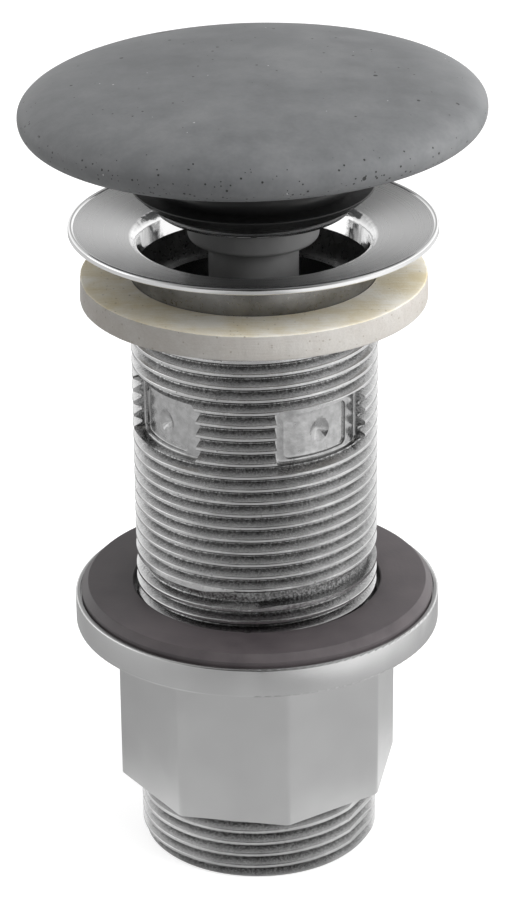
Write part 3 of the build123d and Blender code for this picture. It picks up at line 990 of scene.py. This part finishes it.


# %% [markdown]
# ## Concrete
#
# The cap is cast in fine grey concrete and sealed with a satin coat. Its colour drifts in soft
# clouds, and air bubbles left pinholes, few on the crown and many low on the rim, where they
# gathered in the mould. The bubbles are cells of a Voronoi pattern, and the share that is kept
# grows downwards. A few pale grains show, and one chip lies behind, left of the middle. Pinholes
# and chip are sunk in relief and painted near black inside: painted shade in their hollows.

# %% Clouds and grains of the concrete
concrete, tree, shader = finish(
    "concrete", grey(0.17, -0.03), 0.0, 0.6, Coat_Weight=0.2, Coat_Roughness=0.4
)
broad_clouds = swing(tree, blots(tree, 16), -0.5, 0.5)
small_clouds = swing(tree, blots(tree, 4, 4.0, seed=3.1, roughness=0.6), -0.3, 0.3)
sand = swing(tree, blots(tree, 0.7), -0.14, 0.14)
clouds = combine(tree, "ADD", combine(tree, "ADD", broad_clouds, small_clouds), sand)
stone_colour = tint(
    tree, span(tree, clouds, -0.6, 0.6, 0, 1),
    [(0.0, grey(0.12, -0.035)), (1.0, grey(0.185, -0.02)), (0.5, grey(0.152, -0.03))],
)
pale_grains = pits(tree, 1.1, 0.2, 0.012, seed=8.2)
stone_colour = overlay(tree, pale_grains, stone_colour, grey(0.45))
tree.links.new(span(tree, clouds, -0.8, 0.8, 0.5, 0.62), shader.inputs["Roughness"])

# %% Bubbles and the chip, with painted shade in their hollows
chip_x, chip_y = -15.4, 27.9
chip_reach_x, chip_reach_y = 2.1, 0.9
bubble_share = span(
    tree, along(tree, "Z"), (cap_underside + 1) * MM, (cap_equator + 3) * MM, 0.9, 0.03
)
bubbles = combine(
    tree, "MAXIMUM", pits(tree, 0.8, 0.22, bubble_share), pits(tree, 1.6, 0.42, 0.015, seed=1.7)
)
from_chip = length_of(
    tree,
    own_coordinates(
        tree, (1 / (chip_reach_x * MM), 1 / (chip_reach_y * MM), 0),
        (-chip_x / chip_reach_x, -chip_y / chip_reach_y, 0),
    ),
)
ragged = swing(tree, blots(tree, 0.5, 2.0), -0.5, 0.5)
chip = combine(tree, "LESS_THAN", combine(tree, "ADD", from_chip, ragged), 0.75)
# Pinholes and the chip are sunk in relief and also painted near black inside as painted shade.
hollows_sunk_and_shaded = combine(tree, "MAXIMUM", bubbles, combine(tree, "MULTIPLY", chip, 0.6))
tree.links.new(overlay(tree, hollows_sunk_and_shaded, stone_colour, grey(0.02)), shader.inputs["Base Color"])
grains = blots(tree, 0.28, 2.0, seed=5.7, roughness=0.6)
relief(
    tree, shader, (blots(tree, 7, seed=2.2), 0.1), (grains, 0.012),
    (combine(tree, "MULTIPLY", hollows_sunk_and_shaded, -1.0), 0.3),
)
print("nodes in the concrete:", len(tree.nodes))

# %% [markdown]
# ## Rubber and foam
#
# Moulded rubber has a satin skin with faint flow marks. The beige gasket is foam: its face is
# yellowed and scuffed, its cut side is less yellow and open-celled, and painted darker than the
# face as shade.

# %% Rubber
black_rubber, tree, shader = finish("black_rubber", grey(0.012), 0.0, 0.38)
skin = blots(tree, 1.2)
uneven_gloss(tree, shader, skin, 0.3, 0.46)
relief(tree, shader, (skin, 0.02))

dark_rubber, tree, shader = finish("dark_rubber", (0.062, 0.053, 0.055), 0.0, 0.42)
smears = blots(tree, 9, 4.0, roughness=0.6)
uneven_colour(tree, shader, smears, (0.065, 0.056, 0.060), (0.108, 0.094, 0.098))
uneven_gloss(tree, shader, smears, 0.34, 0.5)
relief(tree, shader, (blots(tree, 0.5, seed=1.3), 0.015), (rings(tree, 0.6, from_axis(tree)), 0.01))


# %% Foam
def foam_finish(name, deep, pale):
    """Foam rubber between two colours, stained in blots, torn at its edge and finely scratched.

    The share of sooty cells grows over the last three millimetres towards the outer edge.
    """
    material, tree, shader = finish(name, pale, 0.0, 0.8)
    stain = blots(tree, 9, 4.0, roughness=0.6)
    cells = blots(tree, 0.35, seed=2.9, roughness=0.7)
    scratches = blots(tree, 0.3, 2.0, seed=7.3, stretch=(0.06, 1, 1))
    fine = combine(
        tree, "ADD", combine(tree, "MULTIPLY", cells, 0.15),
        combine(tree, "MULTIPLY", scratches, 0.2),
    )
    mixed = combine(tree, "ADD", combine(tree, "MULTIPLY", stain, 0.65), fine)
    soot_share = span(tree, from_axis(tree), 28.5 * MM, 31.3 * MM, 0.06, 0.3)
    soot = combine(tree, "MULTIPLY", pits(tree, 0.55, 0.2, soot_share, seed=4.1), 0.45)
    foam_colour = tint(tree, mixed, [(0.38, deep), (0.6, pale)])
    sooty_colour = overlay(tree, soot, foam_colour, (0.22, 0.18, 0.12))
    tree.links.new(sooty_colour, shader.inputs["Base Color"])
    relief(tree, shader, (stain, 0.25), (scratches, 0.04), (cells, 0.05))
    return material


foam_face = foam_finish("foam_face", (0.72, 0.63, 0.42), (0.89, 0.86, 0.78))
# The cut side is the same foam in a greyer tint, painted darker than the face as shade.
foam_side_painted_shade = foam_finish("foam_side_painted_shade", (0.47, 0.44, 0.405), (0.56, 0.54, 0.51))

# %% [markdown]
# ## Plated metal
#
# All the metal is chrome on brass, but the casting under it gives each zone its own look. The
# thread is as cast: gritty and with specks, and with painted shade in its grooves. How deep in a
# groove a point lies is its distance from the axis, the shade is darker the deeper it lies, and
# the grit breaks the painted shade up.

# %% Metal as cast
cast_plating, tree, shader = finish("cast_plating", grey(0.66), 1.0, 0.2)
grit = blots(tree, 0.4, roughness=0.65)
drift = blots(tree, 3, 2.0, seed=4.4)
specks = combine(tree, "MULTIPLY", pits(tree, 0.6, 0.17, 0.12), 0.6)
# Painted shade: the colour darkens towards the root of each groove, broken up by the grit.
painted_groove_shade = span(
    tree, from_axis(tree), (root_radius + 0.25) * MM, (crest_radius - 0.15) * MM, 0.72, 0.0
)
grit_broken_groove_shade = combine(tree, "MULTIPLY", painted_groove_shade, span(tree, grit, 0.4, 0.6, 1.25, 0.45))
plate_colour = tint(tree, drift, [(noise_low, grey(0.60)), (noise_high, grey(0.70))])
specked_and_groove_shaded_colour = overlay(tree, combine(tree, "MAXIMUM", specks, grit_broken_groove_shade), plate_colour, grey(0.1))
tree.links.new(specked_and_groove_shaded_colour, shader.inputs["Base Color"])
uneven_gloss(tree, shader, grit, 0.13, 0.27)
relief(tree, shader, (drift, 0.03), (grit, 0.035))

# %% [markdown]
# The flange is brushed in rings inside a bright bead. The brushing spreads a mirrored light
# across the rings, never along them, so the finish is anisotropic, turned a quarter from the
# tangent round Z. Plain noise in rings would give the lines, but not the fan of light.

# %% Brushed flange and bright bead
brushed_plating, tree, shader = finish(
    "brushed_plating", grey(0.62), 1.0, 0.3, Anisotropic=0.95, Anisotropic_Rotation=0.25
)
turning = rings(tree, 0.12, from_axis(tree))
tangent = add_node(tree, "ShaderNodeTangent", direction_type="RADIAL", axis="Z")
tree.links.new(tangent.outputs["Tangent"], shader.inputs["Tangent"])
uneven_gloss(tree, shader, turning, 0.27, 0.33)
relief(tree, shader, (turning, 0.001), (blots(tree, 8, 2.0), 0.01))

bright_plating, tree, shader = finish("bright_plating", grey(0.78), 1.0, 0.05)
uneven_gloss(tree, shader, rings(tree, 0.8, along(tree, "Z")), 0.03, 0.08)
relief(tree, shader, (blots(tree, 5, 2.0, seed=7.0), 0.02))

# %% [markdown]
# The throat is polished and slightly crinkled, so it mirrors the seal and the sleeve in long
# wavy streaks. Its upper end flares a little more than the form shows, which a slow relief over
# its height gives. Below the throat, and on the boss under the flange, the plating is thin and
# dull, and its colour is darkened as painted shade.

# %% Throat and ledge
polished_plating, tree, shader = finish("polished_plating", grey(0.7), 1.0, 0.08)
crinkle = blots(tree, 4, 2.0, seed=6.1, stretch=(1, 1, 0.3))
flare = span(
    tree, along(tree, "Z"), throat_foot[1] * MM, (flange_top - dish_depth) * MM, 1.0, 0.0
)
uneven_gloss(tree, shader, blots(tree, 1.5, 2.0, seed=2.0), 0.05, 0.13)
relief(tree, shader, (flare, 1.4), (crinkle, 0.17), (blots(tree, 1.3, 2.0, seed=8.0), 0.01))

# Its dark colour is painted shade for the boss under the flange and the inside below the throat.
dull_plating_painted_shade, tree, shader = finish("dull_plating_painted_shade", grey(0.26), 1.0, 0.3)
inner_grit = blots(tree, 0.5, seed=9.3)
uneven_colour(tree, shader, blots(tree, 4, seed=5.5), grey(0.2), grey(0.34))
uneven_gloss(tree, shader, inner_grit, 0.24, 0.4)
relief(tree, shader, (inner_grit, 0.02))

# %% [markdown]
# The nut and the tube's bore are satin, with a trace of upright grain. The windows' panels are
# darker, and uneven in colour and gloss, as the casting was pressed in there.

# %% Satin nut and pressed windows
satin_plating, tree, shader = finish("satin_plating", grey(0.66), 1.0, 0.25)
brushing = blots(tree, 1.4, 2.0, stretch=(0.25, 0.25, 5))
uneven_colour(tree, shader, blots(tree, 9, 2.0, seed=1.0), grey(0.64), grey(0.69))
uneven_gloss(tree, shader, brushing, 0.23, 0.27)
relief(tree, shader, (brushing, 0.0004), (blots(tree, 12, 2.0, seed=4.0), 0.03))

window_plating, tree, shader = finish("window_plating", grey(0.46), 1.0, 0.22)
pressing = blots(tree, 1.5, seed=2.6)
pressed_colour = tint(tree, pressing, [(0.35, grey(0.4)), (0.65, grey(0.52))])
tree.links.new(pressed_colour, shader.inputs["Base Color"])
uneven_gloss(tree, shader, blots(tree, 0.8, seed=6.6), 0.16, 0.28)
relief(tree, shader, (pressing, 0.05), (blots(tree, 0.4, 2.0, seed=1.6), 0.008))

# %% [markdown]
# ## Hidden metals and plastics
#
# The sleeve and the barrel are moulded in grey plastic with a matt grain. The latch ring and
# the plunger are natural white, the screws, washers and the spring are steel, and the bush in
# the cap is brass.

# %% Plastics, steel and brass
grey_plastic, tree, shader = finish("grey_plastic", grey(0.23), 0.0, 0.42)
moulding = blots(tree, 0.25, 2.0)
uneven_colour(tree, shader, blots(tree, 5), grey(0.21), grey(0.26))
uneven_gloss(tree, shader, moulding, 0.36, 0.5)
relief(tree, shader, (moulding, 0.01))

white_plastic, tree, shader = finish("white_plastic", grey(0.7, 0.02), 0.0, 0.4)
moulding = blots(tree, 0.3, 2.0, seed=1.1)
uneven_gloss(tree, shader, moulding, 0.33, 0.48)
relief(tree, shader, (moulding, 0.01))

steel, tree, shader = finish("steel", grey(0.56), 1.0, 0.25)
drawn = blots(tree, 0.4, stretch=(1, 1, 4))
uneven_gloss(tree, shader, drawn, 0.18, 0.34)
relief(tree, shader, (drawn, 0.004))

brass, tree, shader = finish("brass", (0.78, 0.62, 0.33), 1.0, 0.28)
drawn = rings(tree, 0.25, along(tree, "Z"))
uneven_gloss(tree, shader, drawn, 0.2, 0.36)
relief(tree, shader, (drawn, 0.006))

# %% [markdown]
# ## Finishes onto pieces
#
# The body has seven finishes. After the cuts its faces are told apart by where they lie: the
# radius and the height of each face's middle decide, worked out for all faces at once. Each
# line below may take faces over from the lines before it.


# %% Dressing a piece
def face_middles(piece):
    """Radius and height of every face's middle, in millimetres."""
    middles = np.zeros(3 * len(piece.data.polygons), np.float32)
    piece.data.polygons.foreach_get("center", middles)
    middles = middles.reshape(-1, 3) / MM
    return np.hypot(middles[:, 0], middles[:, 1]), middles[:, 2]


def dress(piece, materials, zone=None):
    """Puts materials on a piece: the first on all faces, or each on the faces of its zone."""
    piece.data.materials.clear()
    for material in materials:
        piece.data.materials.append(material)
    if zone is None:
        zone = np.zeros(len(piece.data.polygons))
    piece.data.polygons.foreach_set("material_index", zone.astype(np.int32))


# %% Zones of the body
cast_zone, flange_zone, throat_zone, bore_zone, dull_shaded_zone, bead_zone, window_zone = range(7)
bore_level = ledge[1] - 1
radius, height = face_middles(body)
zone = np.full(len(radius), cast_zone)
zone[(radius > throat_radius + throat_rounding) & (height > underside_level)] = flange_zone
zone[(radius <= throat_radius + throat_rounding) & (height > bore_level)] = throat_zone
# The boss under the flange gets the darker plating, which is painted shade.
on_boss = (radius > boss_radius - 0.3) & (height < underside_level) & (height > gasket_level)
zone[on_boss] = dull_shaded_zone
zone[(radius < throat_foot[0] - 0.05) & (height < throat_foot[1])] = dull_shaded_zone
zone[(radius < tube_bore_radius + 0.3) & (height < bore_level)] = bore_zone
zone[(radius > tube_bore_radius + 0.3) & (height < bore_level)] = cast_zone
on_bead = (radius > flange_radius - bead_width - 0.05) & (height > underside_level)
zone[on_bead] = bead_zone
in_window = np.abs(height - window_level) < window_height / 2 + 0.6
in_wall = (radius > tube_bore_radius + 0.2) & (radius < root_radius - 0.2)
zone[in_window & in_wall] = window_zone
body_finishes = (
    cast_plating, brushed_plating, polished_plating, satin_plating, dull_plating_painted_shade,
    bright_plating, window_plating,
)
dress(body, body_finishes, zone)
print("faces in the zones of the body:", np.bincount(zone))

# %% Other pieces
radius, height = face_middles(nut)
dress(nut, (satin_plating, cast_plating), (radius > 19) & (height < outlet_thread_top - 0.01))
height = face_middles(basin_gasket)[1]
dress(basin_gasket, (foam_side_painted_shade, foam_face), height > gasket_top - 0.25)
nodes = frame["nodes"]
for piece, material in (
    (nut_gasket, dark_rubber), (seal, black_rubber), (cap, concrete), (plate, bright_plating),
    (sleeve, grey_plastic), (nodes["cap_bush"], brass), (nodes["plug_screw"], steel),
    (nodes["sleeve_collar"], grey_plastic), (nodes["latch_ring"], white_plastic),
    (nodes["latch_pin"], steel), (nodes["plunger"], white_plastic),
    (nodes["return_spring"], steel), (nodes["guide_barrel"], grey_plastic),
    (nodes["barrel_washer"], steel), (nodes["fixing_screw"], steel),
    (nodes["lock_washer"], steel), (nodes["lock_nut"], steel),
):
    dress(piece, (material,))
print("materials in the scene:", len(bpy.data.materials))

# %% [markdown]
# ## Riding on the model
#
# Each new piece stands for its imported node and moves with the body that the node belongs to.

# %% Ride and replace
for piece, node, carrier, slot in (
    (body, "waste_body", "housing", "plated_body"),
    (nut, "outlet_nut", "nut", "satin_nut"),
    (basin_gasket, "basin_gasket", "housing", "beige_gasket"),
    (nut_gasket, "nut_gasket", "clamp", "dark_rubber"),
    (seal, "plug_seal", "plug", "black_rubber"),
    (cap, "cap", "plug", "concrete"),
    (plate, "seal_plate", "plug", "chrome"),
    (sleeve, "outer_sleeve", "plug", "grey_plastic"),
):
    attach(piece, carrier)
    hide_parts(node)
    print(piece.name, "stands for", node, "and rides on", carrier)

# %% [markdown]
# ## Stage and light
#
# A pale floor and a studio that is dark on the camera's side: bright surrounds to both sides and
# behind, a strong soft box to the right, a weaker one to the left and one overhead. Upright
# metal seen from above mirrors only the floor, so the floor is what lights it. What mirrors see
# of the surround and the floor is set apart from what lights the matt pieces, as cards do in a
# real studio: a pale pool round the foot, brighter cards to the right and the left. Places on
# the floor are in metres from the foot of the part.

# %% Floor
floor_size = 6.0
floor_grey = 0.5
floor_grey_in_mirrors = 0.35
floor_glow_to_camera = 0.75
floor_mesh = bpy.data.meshes.new("floor")
half = floor_size / 2
floor_mesh.from_pydata(
    [(-half, -half, 0), (half, -half, 0), (half, half, 0), (-half, half, 0)], [], [(0, 1, 2, 3)]
)
floor = bpy.data.objects.new("floor", floor_mesh)
bpy.context.scene.collection.objects.link(floor)
floor_finish, tree, shader = finish("pale_floor", grey(floor_grey), 0.0, 0.9)
path = add_node(tree, "ShaderNodeLightPath")
floor_colour = span(
    tree, path.outputs["Is Glossy Ray"], 0, 1, floor_grey, floor_grey_in_mirrors
)
tree.links.new(floor_colour, shader.inputs["Base Color"])
shader.inputs["Emission Color"].default_value = (1, 1, 1, 1)
across = along(tree, "X")
right_card = span(tree, across, 0.09, 0.18, 0, 0.5)
left_card = span(tree, across, -0.18, -0.09, 0.3, 0)
sides = combine(tree, "ADD", right_card, left_card)
aside = add_node(tree, "ShaderNodeMath", [(0, across)], operation="ABSOLUTE").outputs["Value"]
foot_ring = span(tree, from_axis(tree), 0.034, 0.052, 0.4, 0)
foot_cards = combine(tree, "MULTIPLY", foot_ring, span(tree, aside, 0.012, 0.03, 0, 1))
pool = combine(tree, "ADD", foot_cards, span(tree, from_axis(tree), 0.045, 0.15, 0.2, 0.03))
all_cards = combine(tree, "ADD", pool, sides)
in_mirrors = combine(tree, "MULTIPLY", path.outputs["Is Glossy Ray"], all_cards)
to_camera = combine(tree, "MULTIPLY", path.outputs["Is Camera Ray"], floor_glow_to_camera)
glow = combine(tree, "ADD", in_mirrors, to_camera)
tree.links.new(glow, shader.inputs["Emission Strength"])
floor_mesh.materials.append(floor_finish)
print("floor:", floor_size, "metres square")

# %% [markdown]
# The world is chosen by the kind of ray. Matt surfaces are lit by a soft sky, strongest behind.
# Mirrors see bright cards to both sides, fading overhead and towards the camera. The camera
# itself sees white.

# %% World
world = bpy.data.worlds.new("studio")
bpy.context.scene.world = world
world.use_nodes = True
tree = world.node_tree
background = tree.nodes["Background"]
sky_place = add_node(tree, "ShaderNodeTexCoord").outputs["Generated"]
direction = add_node(tree, "ShaderNodeSeparateXYZ", [("Vector", sky_place)])
to_right, to_back, upwards = (direction.outputs[axis] for axis in "XYZ")
cards = combine(
    tree, "MAXIMUM", span(tree, to_right, 0.03, 0.3, 0.5, 1.4),
    span(tree, to_right, -0.3, -0.03, 1.2, 0.5),
)
cards = combine(tree, "MULTIPLY", cards, span(tree, upwards, 0.25, 0.6, 1.0, 0.38))
mirrored = combine(tree, "MULTIPLY", cards, span(tree, to_back, -0.85, -0.15, 0.08, 1.0))
lighting = combine(
    tree, "MULTIPLY", span(tree, to_back, -1, 1, 0.12, 1.3),
    combine(
        tree, "MULTIPLY", span(tree, to_right, -1, 1, 0.8, 1.2),
        span(tree, upwards, 0, 0.7, 1.4, 0.75),
    ),
)
path = add_node(tree, "ShaderNodeLightPath")
seen = add_node(
    tree, "ShaderNodeMix",
    [("Factor", path.outputs["Is Glossy Ray"]), ("A", lighting), ("B", mirrored)],
).outputs["Result"]
strength = combine(tree, "MAXIMUM", path.outputs["Is Camera Ray"], seen)
background.inputs["Color"].default_value = (1, 1, 1, 1)
tree.links.new(strength, background.inputs["Strength"])
print("nodes in the world:", len(tree.nodes))

# %% [markdown]
# The soft boxes are large, so that their light wraps round the cap. Only the left one shows in
# the metal, and the other two would leave hard white shapes in it.

# %% Soft boxes
aim_point = Vector((0, 0, 0.08))


def soft_box(name, place, width, height, radiance, in_mirrors=True):
    """An area lamp aimed at the middle of the object, given by the brightness of its face."""
    lamp = bpy.data.lights.new(name, "AREA")
    lamp.shape = "RECTANGLE"
    lamp.size = width
    lamp.size_y = height
    lamp.energy = radiance * math.pi * width * height
    box = bpy.data.objects.new(name, lamp)
    box.visible_glossy = in_mirrors
    aim = aim_point - Vector(place)
    box.matrix_world = Matrix.Translation(place) @ aim.to_track_quat("-Z", "Y").to_matrix().to_4x4()
    bpy.context.scene.collection.objects.link(box)
    print(name, "gives", round(lamp.energy, 2), "watts")


soft_box("left_box", (-0.62, 0.1, 0.3), 0.45, 0.5, 0.4)
soft_box("right_box", (0.6, -0.25, 0.28), 0.45, 0.5, 5.0, in_mirrors=False)
soft_box("top_box", (0.25, -0.25, 0.8), 0.6, 0.6, 2.9, in_mirrors=False)
